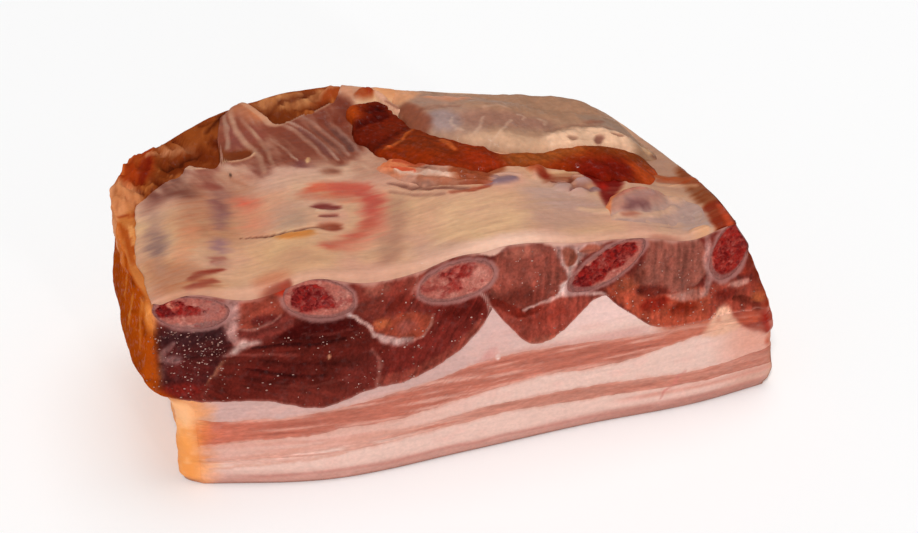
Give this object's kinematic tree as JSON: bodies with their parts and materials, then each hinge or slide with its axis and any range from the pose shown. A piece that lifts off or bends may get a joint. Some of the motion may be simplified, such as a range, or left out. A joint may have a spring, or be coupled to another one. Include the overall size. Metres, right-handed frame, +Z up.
{
  "type": "bone-in pork belly",
  "caption": "Slab of raw bone-in pork belly lying rind down, with streaky fat and lean layers, rib bones at the front cut, and pleura with a strip of diaphragm on top.",
  "frame": {"origin": "on the surface it rests on, under the middle of the slab's box", "axes": "+X along the front cut, to the right as seen from the cut; +Y from the front cut to the back; +Z up, from the rind to the rib side"},
  "size_m": [0.1888, 0.1052, 0.075],
  "materials": {
    "fat": "moist pink-white pork fat",
    "streaky_lean": "moist pale streaky lean",
    "rib_lean": "moist dark red lean",
    "bone": "cut rib bone with red marrow",
    "pleura": "thin shiny cream membrane",
    "lobe_fat": "nodular cream fat",
    "skirt": "dried orange-brown muscle"
  },
  "bodies": {
    "root": {"rind_fat": "fat", "thin_lean": "streaky_lean", "middle_fat": "fat", "streaky_lean": "streaky_lean", "upper_fat": "fat", "rib_lean": "rib_lean", "rib_1": "bone", "rib_2": "bone", "rib_3": "bone", "rib_4": "bone", "rib_5": "bone", "pleura": "pleura", "fold": "pleura", "flap": "pleura", "fat_lobe": "lobe_fat", "skirt": "skirt"}
  },
  "joints": []
}
